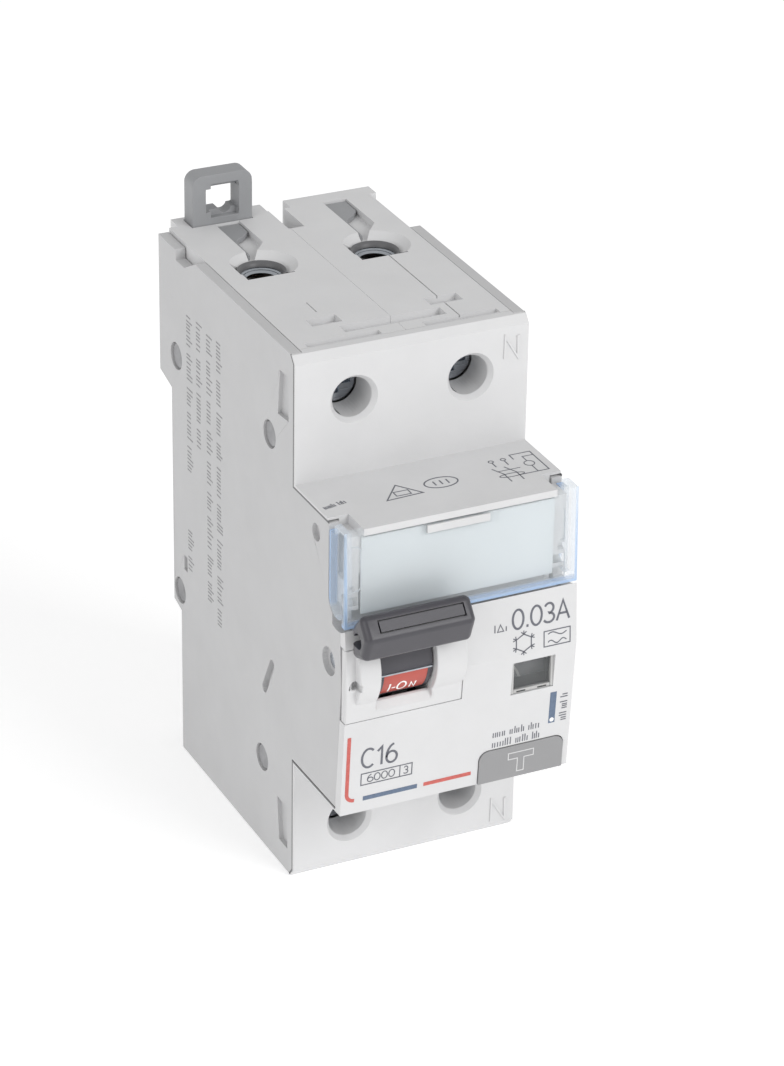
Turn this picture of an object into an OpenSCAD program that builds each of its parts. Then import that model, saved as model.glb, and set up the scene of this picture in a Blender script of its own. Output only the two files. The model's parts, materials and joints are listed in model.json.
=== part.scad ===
// Two-module residual current breaker for a 35 mm rail.
// X is the width, -Y is the front and +Z is up. The origin is the centre of the rail seat:
// the plane y = 0 lies on the rail's front face and z = 0 is the rail's centre line.

/* [Casing] */
// Overall width of the two modules
width = 35.6; // [35.4:0.1:35.8]
// Height of the top face above the rail's centre line
top_z = 41; // [40.8:0.1:41.4]
// Depth from the rail to the shoulders
shoulder_depth = 44; // [43.8:0.1:44.2]
// Depth from the rail to the top edge of the nose
nose_depth = 59.8; // [59.6:0.1:60]
// Height of the nose above the rail's centre line
nose_top = 21.8; // [21.6:0.1:22]
// Height of the rail seat between its two lips
seat_height = 35.1; // [35.1:0.1:35.5]
// Thickness of the side shells
shell = 1.6; // [1.5:0.1:1.7]
// Hairline gap between neighbouring mouldings
seam = 0.1; // [0.08:0.01:0.12]

/* [Terminals] */
// Distance of the screw axes from the middle of the device
pole_x = 8.9; // [8.8:0.1:9]
// Height of the upper screw axes
screw_z = 33.2; // [33:0.1:33.4]
// Radius of the screw access holes
access_r = 3; // [2.95:0.05:3.1]
// Radius of a terminal screw's thread
thread_r = 2.5; // [2.4:0.05:2.5]
// Radius of the wire funnel's throat
funnel_r = 3.6; // [3.4:0.1:3.7]

/* [Lever] */
// Radius of the lever's barrel
barrel_r = 6.1; // [6:0.1:6.2]
// Radius of the lever pin
pin_r = 1.2; // [1.1:0.05:1.3]
// Radius of the cheeks beside the barrel
cheek_r = 7.2; // [7.1:0.05:7.2]

/* [Rail claws] */
// Width of a rail claw
claw_w = 9.4; // [9:0.1:9.6]
// Thickness of a rail claw
claw_t = 3.2; // [3:0.1:3.4]

/* [Hidden] */
$fn = 48;

// casing planes
side_x = width / 2;
inner_x = side_x - shell;
bottom_z = -top_z - 1;
shoulder_skin = 2.4;
nose_skin = 1.6;
wall = 1.5;
module_gap = 0.04;
past = 1;
shoulder_y = -shoulder_depth;
body_y = shoulder_y + shoulder_skin;
nose_y = -nose_depth;
bend_y = nose_y - 1.5;
bend_z = -2.1;
foot_y = nose_y + 0.1;
foot_z = -nose_top - 0.9;
root_z = -nose_top - 1.1;
lip_z = seat_height / 2 + 0.1;
lip_foot_z = lip_z - seat_height;
edge_run = 1;
edge_drop = 1.2;
lip_t = 0.4;
lip_gap = 0.25;
head_y = 4.4;
head_guide_y = 7.2;
tail_y = -2.8;
tail_guide_y = 5;

// toggle and flap axes
lever_y = -55.5;
lever_z = 0;
slot_x0 = -13.05;
slot_x1 = -4.6;
surround_x1 = 0.1;
surround_top = 4.2;
surround_foot = -7.3;
surround_rear = bend_y + nose_skin;
flap_y = -58;
flap_z = 10.4;
flap_foot_r = 3;
flap_rear = flap_y + 2.8;
pocket_r = 4.25;
arm_t = 1;
ear_x0 = side_x - arm_t - seam;
ear_x1 = inner_x - 0.6;
ear_plate = 0.7;
seat_rear = flap_y + 5.4;
seat_foot = 5.1;

// terminals
funnel_y = -13.7;
funnel_front_y = -17.4;
funnel_left_x = -9.4;
funnel_right_x = 8.4;
channel_depth = 1.2;
channel_w = 3.7;
left_channel_end = 2.7;
right_channel_end = 4.1;
foot_channel_end = -4.6;
socket_end_y = -38.2;
head_face_y = -37.9;
head_back_y = -34.8;
screw_tip_y = -20.6;
cage_front_y = -25.6;
cage_rear_y = -8.3;
cage_half = 4.5;
cage_z0 = 28.6;
cage_z1 = 38.8;
cage_wall = 1.3;
bar_y = -19.3;
bar_t = 1.5;
chamber_z = 26;
notch_y = -2.8;

// claws
claw_x0 = -12.9;
claw_x1 = claw_x0 + claw_w;
claw_play = 0.15;
upper_claw_y = 3.1;
lower_claw_y = 1.2;
loop_top_z = top_z + 7.7;

// window and test button
window_x0 = 7.9;
window_x1 = 14.6;
window_z0 = -8.7;
window_z1 = -3.4;
button_x0 = 3.6;
button_x1 = 16.9;
button_top = -17.4;
button_rear = nose_y + 3.4;
button_round = 1.5;
test_contact_y = -51.6;

// side profiles, each point as [y, z]
front_inner = [
  [body_y, root_z + nose_skin], [foot_y + nose_skin, foot_z + nose_skin],
  [bend_y + nose_skin, bend_z], [nose_y + nose_skin, nose_top - nose_skin],
  [body_y, nose_top - nose_skin]
];
front_outer = [
  [body_y, top_z], [shoulder_y + edge_run, top_z], [shoulder_y, top_z - edge_drop],
  [shoulder_y, nose_top], [nose_y, nose_top], [bend_y, bend_z], [foot_y, foot_z],
  [shoulder_y, root_z], [shoulder_y, bottom_z + edge_drop], [shoulder_y + edge_run, bottom_z],
  [body_y, bottom_z]
];
rear_edge = [
  [tail_y, bottom_z], [tail_y, lip_foot_z - 0.8], [0, lip_foot_z],
  [0, lip_z], [head_y, lip_z + 1.2], [head_y, top_z]
];
shell_in = lip_t + lip_gap;
cover_front = [
  [shoulder_y + edge_run + shell_in, top_z], [shoulder_y + shell_in, top_z - edge_drop],
  [shoulder_y + shell_in, nose_top - shell_in], [nose_y + nose_skin + seam, nose_top - shell_in],
  [bend_y + nose_skin + seam, bend_z], [foot_y + nose_skin + seam, foot_z + shell_in],
  [shoulder_y + shell_in, root_z + shell_in], [shoulder_y + shell_in, bottom_z + edge_drop],
  [shoulder_y + edge_run + shell_in, bottom_z]
];
behind_lip = [
  [shoulder_y + edge_run + lip_t, top_z + past], [shoulder_y + edge_run + lip_t, top_z],
  [shoulder_y + lip_t, top_z - edge_drop], [shoulder_y + lip_t, nose_top - lip_t],
  [flap_rear, nose_top - lip_t], [flap_rear, 0], [foot_y + nose_skin, 0],
  [foot_y + nose_skin, foot_z + lip_t], [shoulder_y + lip_t, root_z + lip_t],
  [shoulder_y + lip_t, bottom_z + edge_drop],
  [shoulder_y + edge_run + lip_t, bottom_z], [shoulder_y + edge_run + lip_t, bottom_z - past],
  [0, bottom_z - past], [0, top_z + past]
];
housing_inner = [
  [body_y - past, bottom_z + wall], [tail_y - wall, bottom_z + wall],
  [tail_y - wall, lip_foot_z - 0.2], [-wall, lip_foot_z + 0.6], [-wall, lip_z - 0.6],
  [head_y - wall, lip_z + 1.9], [head_y - wall, top_z - wall], [body_y - past, top_z - wall]
];

// rivet places on the sides, as [y, z]
rivets = [[-1.9, 23.5], [-2.4, -15], [-35.4, 25.8], [-32.8, -27.6]];
rivet_recess_r = 2.1;
recess_y = body_y - 0.2;

module along_x(x0, x1) {
  translate([x0, 0, 0]) rotate([90, 0, 90]) linear_extrude(x1 - x0) children();
}

module block(x0, x1, y0, y1, z0, z1) {
  translate([x0, y0, z0]) cube([x1 - x0, y1 - y0, z1 - z0]);
}

module rod_x(x0, x1, y, z, r) {
  translate([x0, y, z]) rotate([0, 90, 0]) cylinder(h = x1 - x0, r = r);
}

module rod_y(y0, y1, x, z, r) {
  translate([x, y0, z]) rotate([-90, 0, 0]) cylinder(h = y1 - y0, r = r);
}

module rod_z(z0, z1, x, y, r) {
  translate([x, y, z0]) cylinder(h = z1 - z0, r = r);
}

// a copy for the foot: the same shape mirrored about the middle of the height
module at_foot() {
  translate([0, 0, bottom_z + top_z]) mirror([0, 0, 1]) children();
}

module both_ends() {
  children();
  at_foot() children();
}

// a coil spring as one closed tube, wound along +Z from the origin
module coil(coil_r, wire_r, turns, height, sides = 8, steps = 14) {
  rings = turns * steps;
  points = [
    for (i = [0:rings]) for (j = [0:sides - 1])
      let (turn = 360 * i / steps, a = 360 * j / sides, r = coil_r + wire_r * cos(a))
        [r * cos(turn), r * sin(turn), height * i / rings + wire_r * sin(a)]
  ];
  skin = [
    for (i = [0:rings - 1]) for (j = [0:sides - 1])
      let (k = (j + 1) % sides)
        [i * sides + j, (i + 1) * sides + j, (i + 1) * sides + k, i * sides + k]
  ];
  first = [for (j = [0:sides - 1]) j];
  last = [for (j = [sides - 1:-1:0]) rings * sides + j];
  polyhedron(points, concat(skin, [first], [last]));
}

// ---------- casing ----------

// access hole with its bevelled mouth, cut from the front
module access_cut(x) {
  rod_y(shoulder_y - past, socket_end_y + past, x, screw_z, access_r);
  translate([x, shoulder_y - 0.01, screw_z]) rotate([-90, 0, 0])
    cylinder(h = 0.8, r1 = access_r + 0.6, r2 = access_r);
  block(x - access_r - 0.4, x - 1.4, shoulder_y + 1.2, socket_end_y + past,
    screw_z - access_r - 0.1, screw_z - 1.6);
}

// full-width front with its edge lips lying over the side shells
module front_shell() {
  difference() {
    along_x(-side_x, side_x) polygon(concat(front_outer, front_inner));
    for (x = [-side_x - past, inner_x - seam]) along_x(x, x + shell + seam + past) polygon(behind_lip);
  }
}

module front_cover() {
  color("gainsboro") difference() {
    union() {
      front_shell();
      both_ends() for (x = [-pole_x, pole_x])
        rod_y(body_y - 0.5, socket_end_y, x, screw_z, access_r + 1.3);
      flap_seat();
    }
    both_ends() for (x = [-pole_x, pole_x]) access_cut(x);
    // label recess behind the flap and the pocket that its lower edge swings through
    along_x(-side_x - past, side_x + past) polygon([
      [bend_y - past, flap_z - flap_foot_r - 0.2], [flap_y - 0.7, flap_z - flap_foot_r - 0.2],
      [flap_y - 0.7, nose_top - 1], [bend_y - past, nose_top - 1]
    ]);
    for (side = [-1, 1]) {
      x = side * 16.4;
      block(x - 1.7, x + 1.7, bend_y, nose_y + 5, nose_top - 1.5, nose_top + past);
    }
    for (x = [-side_x - past, ear_x0]) {
      rod_x(x, x + arm_t + seam + past, flap_y, flap_z, pocket_r);
      block(x, x + arm_t + seam + past, bend_y - past, flap_rear, flap_z, nose_top + past);
    }
    rod_x(ear_plate - ear_x1, ear_x1 - ear_plate, flap_y, flap_z, pocket_r);
    for (x = [-ear_x0 - seam, ear_x1 - ear_plate - seam])
      along_x(x, x + ear_x0 - ear_x1 + ear_plate + 2 * seam) difference() {
        foot_sweep();
        translate([flap_y, flap_z]) circle(r = 1.5);
      }
    for (side = [-1, 1]) rod_x(side * 16.1 - 1.5, side * 16.1 + 1, flap_y, flap_z, 0.97);
    // lever surround, lever slot, window and test button
    block(-side_x - past, surround_x1 + seam, bend_y - past, bend_y + 4,
      surround_foot - seam, surround_top + seam);
    block(slot_x0, slot_x1, bend_y - past, bend_y + 4, surround_top, flap_z);
    block(window_x0, window_x1, bend_y - past, bend_y + 4, window_z0, window_z1);
    translate([0, nose_y + 6, 0]) rotate([90, 0, 0]) linear_extrude(8.5) button_outline(seam);
  }
}

// inner block that carries the flap's ears, hollowed for the lever
module flap_seat() {
  difference() {
    union() {
      along_x(-ear_x1, ear_x1) polygon([
        [flap_y - 0.7, nose_top - 1.2], [flap_y + 0.4, nose_top - 1.2],
        [seat_rear, flap_z + 2.6], [seat_rear, seat_foot], [flap_y - 1.6, seat_foot],
        [flap_y - 1.6, flap_z + 6]
      ]);
      for (side = [-1, 1]) {
        x0 = side > 0 ? ear_x1 - 0.1 : -ear_x0;
        rod_x(x0, x0 + ear_x0 - ear_x1 + 0.1, flap_y, flap_z, 1.45);
        block(x0, x0 + ear_x0 - ear_x1 + 0.1, flap_y, flap_y + 2.6, flap_z - 0.9, flap_z + 3);
      }
    }
    rod_x(slot_x0, slot_x1, lever_y, lever_z, barrel_r + 0.3);
    rod_x(ear_plate - ear_x1, ear_x1 - ear_plate, flap_y, flap_z, pocket_r);
  }
}

// the space that the flap's lower edge sweeps as it opens, as [y, z]
module foot_sweep() {
  intersection() {
    translate([flap_y, flap_z]) circle(r = pocket_r);
    translate([flap_y - pocket_r - past, flap_z - pocket_r]) square([pocket_r + past + 1.5, pocket_r]);
  }
}

// outline of a side shell, with the tool notch in its top edge
module cover_outline(rear_drop) {
  difference() {
    polygon(concat(rear_edge, cover_front));
    polygon([
      [-9.3, top_z + past], [-9.3, top_z], [-5.2, top_z - 2.2], [-2, top_z - 2.2], [-2, top_z + past]
    ]);
    translate([-2.01, top_z - rear_drop]) square([head_y + 3, 6]);
    translate([flap_y, flap_z]) circle(r = flap_foot_r - 0.2);
    foot_sweep();
    translate([bend_y - past, flap_z]) square([flap_rear - bend_y + past, 20]);
  }
}

module side_cover(rear_drop) {
  difference() {
    along_x(inner_x, side_x) cover_outline(rear_drop);
    for (p = rivets) rod_x(side_x - 0.9, side_x + past, p[0], p[1], rivet_recess_r);
    rod_x(side_x - 0.9, side_x + past, lever_y, lever_z, rivet_recess_r);
    rod_x(inner_x - past, side_x, lever_y, lever_z, pin_r + 0.05);
    for (p = rivets) rod_x(inner_x - past, side_x, p[0], p[1], 1.25);
    rod_x(side_x - 0.8, side_x + past, -51.1, 17.9, 1.3);
    block(side_x - 0.8, side_x + past, -5.3, -4.1, -10.6, -8.2);
    slanted_slot();
    tapered_recess();
    at_foot() tapered_recess();
  }
}

module slanted_slot() {
  translate([side_x - 1, -35, -13]) rotate([28, 0, 0]) {
    block(0, past + 1, -0.8, 0.8, -2.8, 2.8);
    for (end = [-1, 1]) rod_x(0, past + 1, 0, end * 2.8, 0.8);
  }
}

// recess near the front edge, deepest along its front side
module tapered_recess() {
  along_x(side_x - 0.7, side_x + past)
    polygon([[recess_y, 30.5], [recess_y + 3.6, 30.2], [recess_y + 2.9, 37.1], [recess_y, 37.2]]);
  block(side_x - 1.4, side_x, recess_y + 0.1, recess_y + 0.7, 32.2, 36.8);
}

module left_side_cover() {
  color("silver") mirror([1, 0, 0]) side_cover(0.6);
}

module right_side_cover() {
  color("silver") difference() {
    side_cover(3);
    // pocket that the test button slides in
    block(inner_x - past, button_x1 + seam, bend_y - past, button_rear + 1.6,
      foot_z - past, button_top + seam);
  }
}

// D-shaped wire funnel in the top face, with its bevel and a shutter channel towards the rear
module funnel_cut(x, channel_end) {
  intersection() {
    union() {
      rod_z(top_z - 8, top_z + past, x, funnel_y, funnel_r);
      translate([x + 0.6, funnel_y + 0.7, top_z - 1.8])
        cylinder(h = 1.9, r1 = funnel_r - 0.9, r2 = funnel_r + 1.5);
    }
    block(x - 3.9, x + 6, funnel_front_y, funnel_y + 7, top_z - 9, top_z + past);
  }
  block(x - 3.7, x + 3.6, funnel_front_y, funnel_y, top_z - 4, top_z + past);
  block(x - 3.7, x, funnel_y - 0.1, funnel_y + 2.9, top_z - 4, top_z + past);
  translate([x, 0, top_z - channel_depth]) linear_extrude(channel_depth + past) polygon([
    [-0.1, funnel_y + 3], [-0.1, channel_end], [channel_w, channel_end],
    [channel_w, min(channel_end - 3.5, -5.8)], [0.5, funnel_y + 4]
  ]);
}

// tray shared by both modules: a wall around the case and a partition
module tray(x0, x1, partition_x) {
  along_x(x0, x1) difference() {
    polygon(concat(rear_edge, [[body_y + seam, top_z], [body_y + seam, bottom_z]]));
    polygon(housing_inner);
  }
  along_x(partition_x, partition_x + 1.2)
    polygon(concat(rear_edge, [[body_y + seam, top_z], [body_y + seam, bottom_z]]));
  both_ends() block(x0, x1, head_back_y + 0.1, head_back_y + 1.2, chamber_z - 0.5, top_z - wall + 0.1);
  both_ends() block(x0, x1, head_back_y + 0.1, -22, chamber_z - 1, chamber_z);
}

module breaker_housing() {
  x0 = -inner_x + seam;
  x1 = -module_gap / 2;
  color("whitesmoke") difference() {
    union() {
      tray(x0, x1, x1 - 1.2);
      block(-14.7, -0.5, 1.4, head_guide_y, lip_z + 1.2, top_z);
      block(claw_x0 - 1, claw_x1 + 1, tail_y - wall, tail_guide_y, bottom_z, lip_foot_z - 2.2);
    }
    funnel_cut(funnel_left_x, left_channel_end);
    at_foot() funnel_cut(funnel_left_x, foot_channel_end);
    both_ends() rod_y(head_back_y - past, head_back_y + 3, -pole_x, screw_z, thread_r + 0.15);
    // channels of the two rail claws
    block(claw_x0 - claw_play, claw_x1 + claw_play, upper_claw_y - claw_play,
      upper_claw_y + claw_t + claw_play, lip_z - 2, top_z + past);
    block(claw_x0 - claw_play, claw_x1 + claw_play, 0.9, upper_claw_y + 1, lip_z, 27.2);
    block(claw_x0 - claw_play, claw_x1 + claw_play, lower_claw_y - claw_play,
      lower_claw_y + claw_t + claw_play, bottom_z - past, lip_foot_z);
    // notch between the modules at the top rear, shared with the other housing
    block(-0.3, 1, notch_y, head_y + 1, top_z - 3.4, top_z + past);
    both_ends() top_ledges();
    both_ends() block(-8.9, -8.7, -31.2, -27.7, top_z - 0.2, top_z + past);
    for (p = rivets) rod_x(x0 - past, past, p[0], p[1], 1.25);
    rod_x(x0 - past, x0 + 0.01, lever_y, lever_z, pin_r + 0.05);
  }
}

module residual_housing() {
  x0 = module_gap / 2;
  x1 = inner_x - seam;
  color("whitesmoke") difference() {
    union() {
      tray(x0, x1, x0);
      block(x0, 3.4, notch_y - 1.2, head_y, top_z - 5, top_z - wall + 0.1);
      block(3.2, x1, 1.4, head_guide_y, lip_z + 1.2, top_z);
      block(3.2, inner_x + 1, head_y + seam, head_guide_y, lip_z + 1.2, top_z);
    }
    funnel_cut(funnel_right_x, right_channel_end);
    at_foot() funnel_cut(funnel_right_x, foot_channel_end);
    both_ends() rod_y(head_back_y - past, head_back_y + 3, pole_x, screw_z, thread_r + 0.15);
    block(-1, 2.2, notch_y, head_y + 1, top_z - 3.4, top_z + past);
    both_ends() top_ledges();
    block(8.8, 9, body_y - past, funnel_front_y + 0.1, top_z - 0.4, top_z + past);
    for (p = rivets) rod_x(-past, inner_x + past, p[0], p[1], 1.25);
  }
}

// ledges in the top faces, each a step down at its rear that ramps up to nothing in front
module top_ledges() {
  for (x = [[-11.4, -6.8], [6.8, 11.8]]) ledge(x, -33, 2.5, 1.1);
  ledge([-8, 7.5], -36.6, 2.4, 1.1);
  for (x = [[-14.8, -3.5], [3.1, 14.6]]) ledge(x, -40.1, 1.3, 0.9);
}

module ledge(x, y, run, step) {
  along_x(x[0], x[1])
    polygon([[y, top_z + past], [y, top_z - step], [y - run, top_z], [y - run, top_z + past]]);
}

// ---------- lever ----------

// the part of the surround that is flush with the nose, as [y, z]
flush_front = [
  [surround_rear, surround_top], [bend_y + 0.4, surround_top], [bend_y, bend_z],
  [bend_y + 0.4, surround_foot], [surround_rear, surround_foot]
];

// cross-section of the surround, with or without the cheeks that reach back into the nose
module surround_profile(cheeks) {
  front = [[bend_y - 3, surround_top], [bend_y - 3, -6.2], [surround_rear, -6.2]];
  rear = [
    [surround_rear, surround_foot], [-51.3, surround_foot], [-51.3, seat_foot - 0.2],
    [-59, seat_foot - 0.2], [-59, surround_top]
  ];
  intersection() {
    translate([lever_y, lever_z]) circle(r = cheek_r);
    polygon(concat(front, cheeks ? rear : [[surround_rear, surround_top]]));
  }
  polygon(flush_front);
}

module lever_surround() {
  cheek_x0 = -inner_x + seam;
  cheek_x1 = -1.4;
  flush_x1 = cheek_x0 - 0.2;
  color("white") difference() {
    union() {
      along_x(-side_x, flush_x1) polygon(flush_front);
      along_x(flush_x1, cheek_x0) surround_profile(false);
      along_x(cheek_x0, cheek_x1) surround_profile(true);
      along_x(cheek_x1, surround_x1) surround_profile(false);
    }
    // slot for the barrel, with a sloping sill at its foot
    along_x(slot_x0, slot_x1) polygon([
      [bend_y - 3, -7.6], [bend_y - 0.3, -7.3], [-60.2, -4.9], [surround_rear, -4.9],
      [surround_rear, surround_foot - past],
      [bend_y + 12, surround_foot - past], [bend_y + 12, cheek_r + past], [bend_y - 3, cheek_r + past]
    ]);
    rod_x(-side_x, 0, lever_y, lever_z, pin_r + 0.04);
    block(-16.9, -15.9, bend_y - 3, bend_y + 1.2, -1.9, -0.7);
  }
}

// outline of the finger bar's cross-section, as [y, z]
bar_section = [[-62.6, 4.8], [-62.5, 8], [-64.2, 10], [-65.7, 8.2], [-64.7, 5.5]];
bar_round = 1;
bar_x0 = -17.3;
bar_x1 = -0.7;
// where the coloured bands lie on the barrel, in degrees above the front
on_span = [-46, -4];
off_span = [52, 86];
band_t = 0.7;

module toggle_lever() {
  color("#4b4950") difference() {
    union() {
      difference() {
        rod_x(slot_x0 + 0.25, slot_x1 - 0.25, lever_y, lever_z, barrel_r);
        // flats at the rear leave room for the drive link
        block(slot_x0, slot_x1, lever_y + 3.4, lever_y + 9, -9, 9);
      }
      along_x(slot_x0 + 0.25, slot_x1 - 0.25) polygon([
        [-55.5, -1], [-60.9, 2], [-62.4, 3.9], [-62.4, 6.7], [-61.2, 6.7], [-58, 5.4], [-55.5, 5.4]
      ]);
      hull() for (p = bar_section) for (x = [bar_x0 + bar_round, bar_x1 - bar_round])
        translate([x, p[0], p[1]]) sphere(r = bar_round, $fn = 24);
    }
    rod_x(slot_x0, slot_x1, lever_y, lever_z, pin_r + 0.05);
    band_cut(on_span);
    band_cut(off_span);
    // long oblong outline on the bar's face
    translate([(bar_x0 + bar_x1) / 2 + 0.4, -65.6, 9.75]) rotate([50, 0, 0]) outline_ring(13, 1.9, 0.2);
    // C-shaped hollow in the left end, open towards the rear
    rod_x(bar_x0 - past, bar_x0 + 3.2, -63.7, 7.1, 1.15);
    block(bar_x0 - past, bar_x0 + 3.2, -63.7, -61, 5.95, 7.4);
  }
}

// shallow outline groove of a rectangle, lying in the XY plane
module outline_ring(length, breadth, line) {
  difference() {
    cube([length, breadth, 1], center = true);
    cube([length - 2 * line, breadth - 2 * line, 3], center = true);
  }
}

// sector of the barrel's surface between two angles above the front
module band_sector(a0, a1, r0, r1, x0, x1) {
  along_x(x0, x1) translate([lever_y, lever_z]) difference() {
    circle(r = r1);
    circle(r = r0);
    rotate(180 - a0) translate([-20, 0]) square([40, 20]);
    rotate(180 - a1) translate([-20, -20]) square([40, 20]);
  }
}

module band_cut(span) {
  band_sector(span[0], span[1], barrel_r - band_t, barrel_r + past, slot_x0 + 0.9, slot_x1 - 0.9);
}

module band(span) {
  band_sector(span[0], span[1], barrel_r - band_t, barrel_r - 0.05, slot_x0 + 0.9, slot_x1 - 0.9);
}

module on_band() {
  color("firebrick") band(on_span);
}

module off_band() {
  color("seagreen") band(off_span);
}

module lever_pin() {
  color("lightsteelblue") rod_x(-side_x + 0.8, -1.5, lever_y, lever_z, pin_r);
}

// torsion spring beside the barrel
module lever_spring() {
  color("dimgray") translate([-8.8, lever_y + 7.4, -6.4]) rotate([0, 90, 0]) rotate([0, 0, 20])
    translate([0, 0, -2]) coil(1.5, 0.3, 5, 4);
}

// ---------- label flap ----------

leaf_t = 1;
leaf_back = 1.55;

module leaf_profile(z1) {
  polygon([
    [flap_y - leaf_back - leaf_t - 0.1, flap_z - flap_foot_r],
    [flap_y - leaf_back - 0.1, flap_z - flap_foot_r],
    [flap_y - leaf_back + 0.4, z1], [flap_y - leaf_back - leaf_t + 0.4, z1]
  ]);
}

module label_flap() {
  color([0.75, 0.88, 1, 0.4]) difference() {
    union() {
      along_x(-side_x, side_x) leaf_profile(nose_top - 1.2);
      for (side = [-1, 1]) {
        x0 = side > 0 ? side_x - arm_t : -side_x;
        along_x(x0, x0 + arm_t) {
          leaf_profile(nose_top);
          difference() {
            union() {
              translate([flap_y, flap_z]) circle(r = 2.5);
              translate([flap_y - 2, flap_z]) square([4.5, nose_top - flap_z]);
            }
            translate([flap_y + 0.9, nose_top - 1.4]) square([3, 3]);
          }
        }
        along_x(side > 0 ? side_x - 3 : -side_x, side > 0 ? side_x : 3 - side_x) difference() {
          leaf_profile(nose_top);
          translate([bend_y - past, flap_z]) square([6, 5]);
        }
      }
      rod_x(-side_x + 0.5, -ear_x1 + 0.05, flap_y, flap_z, 0.9);
      rod_x(ear_x1 - 0.05, side_x - 0.5, flap_y, flap_z, 0.9);
    }
    // finger recess in the top edge
    block(-5.6, 5.5, bend_y - past, flap_y - leaf_back + 0.1 - 0.25, nose_top - 2.6, nose_top);
  }
}

module circuit_label() {
  card_y = flap_y - leaf_back + 0.42;
  color("azure") block(-14.7, 14.7, card_y, card_y + 0.3, flap_z - 1.9, nose_top - 1.6);
}

// ---------- test button, window and earth-fault indicator ----------

// outline of the test button with rounded upper corners, as [x, z]
module button_outline(grow) {
  x0 = button_x0 - grow;
  x1 = button_x1 + grow;
  z1 = button_top + grow;
  r = button_round;
  translate([x0, foot_z - past]) square([x1 - x0, z1 - r - foot_z + past]);
  translate([x0 + r, z1 - r - 0.1]) square([x1 - x0 - 2 * r, r + 0.1]);
  for (x = [x0 + r, x1 - r]) translate([x, z1 - r]) circle(r = r);
}

module test_button() {
  color("darkgray") difference() {
    union() {
      intersection() {
        along_x(button_x0, button_x1) polygon([
          [nose_y - 0.45, button_top], [foot_y - 0.25, foot_z],
          [button_rear, foot_z], [button_rear, button_top]
        ]);
        translate([0, button_rear, 0]) rotate([90, 0, 0]) linear_extrude(6) button_outline(0);
      }
      block(9.4, 11.2, button_rear - 0.1, test_contact_y - 1.25, -20.8, -19);
    }
    // letter outline moulded into the face
    translate([10.2, nose_y - 0.28, -20.2]) rotate([93.2, 0, 0]) letter_t();
  }
}

module letter_t() {
  difference() {
    linear_extrude(0.4, center = true) letter_shape(4.2, 3.4, 1.2);
    linear_extrude(3, center = true) letter_shape(3.86, 3.06, 0.86);
  }
}

module letter_shape(w, h, stroke) {
  translate([-w / 2, h / 2 - stroke]) square([w, stroke]);
  translate([-stroke / 2, -h / 2]) square([stroke, h]);
}

module test_spring() {
  color("silver") translate([14.2, button_rear + 0.2, -19.6]) rotate([-90, 0, 0])
    coil(1.1, 0.2, 4, test_contact_y - button_rear - 0.4);
}

module test_contact() {
  y1 = test_contact_y + 0.4;
  color("peru") union() {
    block(8.2, 15.6, test_contact_y, y1, -20.8, -17.4);
    block(12.8, 15.6, test_contact_y, y1, -17.5, -15.2);
    block(8.2, 12.4, test_contact_y, -42, -17.8, -17.4);
  }
}

module test_resistor() {
  color("tan") {
    rod_y(-50, -43, 14, -16.5, 1.3);
    rod_y(test_contact_y + 0.4, -49.9, 14, -16.5, 0.4);
    rod_y(-43.1, board_front, 14, -16.5, 0.4);
  }
}

module indicator_lens() {
  color([0.8, 0.85, 0.9, 0.45]) union() {
    block(window_x0 + seam, window_x1 - seam, -60.1, -58.8, window_z0 + seam, window_z1 - seam);
    block(window_x0 - 0.6, window_x1 + 0.6, -58.9, -58.4, window_z0 - 0.6, window_z1 + 0.6);
  }
}

module trip_flag() {
  color("gold") {
    block(8, 14.5, -58, -57.2, -16.6, -10.4);
    block(10.4, 12, -57.3, -50.2, -16.6, -15.4);
  }
}

module trip_relay() {
  color("black") difference() {
    block(4, 14.6, -50, -41, -10, 6);
    rod_z(-11, 1, 11.2, -48, 1.1);
  }
}

module relay_plunger() {
  color("silver") rod_z(-14, -1.5, 11.2, -48, 1);
}

// ---------- rail claws ----------

module upper_claw() {
  y1 = upper_claw_y + claw_t;
  color("darkgray") difference() {
    union() {
      block(claw_x0, claw_x1, upper_claw_y, y1, 22.8, loop_top_z - 1.6);
      block(claw_x0 + 1.6, claw_x1 - 1.6, upper_claw_y, y1, 22.8, loop_top_z);
      for (x = [claw_x0 + 1.6, claw_x1 - 1.6]) rod_y(upper_claw_y, y1, x, loop_top_z - 1.6, 1.6);
      block(claw_x0, claw_x1, 1.3, y1, 22.8, 26);
    }
    // finger loop
    block(claw_x0 + 2.1, claw_x1 - 2.1, upper_claw_y - past, y1 + past, top_z + 1.9, loop_top_z - 2.2);
    rod_y(upper_claw_y - past, y1 + past, -7.4, top_z + 2.1, 1);
    block(claw_x0 + 2.9, claw_x1 - 2.2, upper_claw_y - past, upper_claw_y + 1.1,
      top_z + 1, loop_top_z - 1.5);
  }
}

module lower_claw() {
  y1 = lower_claw_y + claw_t;
  color("darkgray") difference() {
    union() {
      block(claw_x0, claw_x1, lower_claw_y, y1, bottom_z + 0.4, lip_foot_z + 1.2);
      along_x(claw_x0, claw_x1) polygon([
        [lower_claw_y, lip_foot_z + 1.2], [y1, lip_foot_z + 1.2], [lower_claw_y + 1.4, lip_foot_z + 3.4]
      ]);
    }
    block(claw_x0 + 2.1, claw_x1 - 2.1, lower_claw_y - past, y1 + past, bottom_z + 2.4, bottom_z + 7);
  }
}

module case_rivets() {
  color("silver") for (p = rivets) {
    rod_x(-side_x + 0.6, side_x - 0.6, p[0], p[1], 1.2);
    for (x = [-side_x + 0.3, side_x - 0.9]) rod_x(x, x + 0.6, p[0], p[1], 1.8);
  }
}

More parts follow.
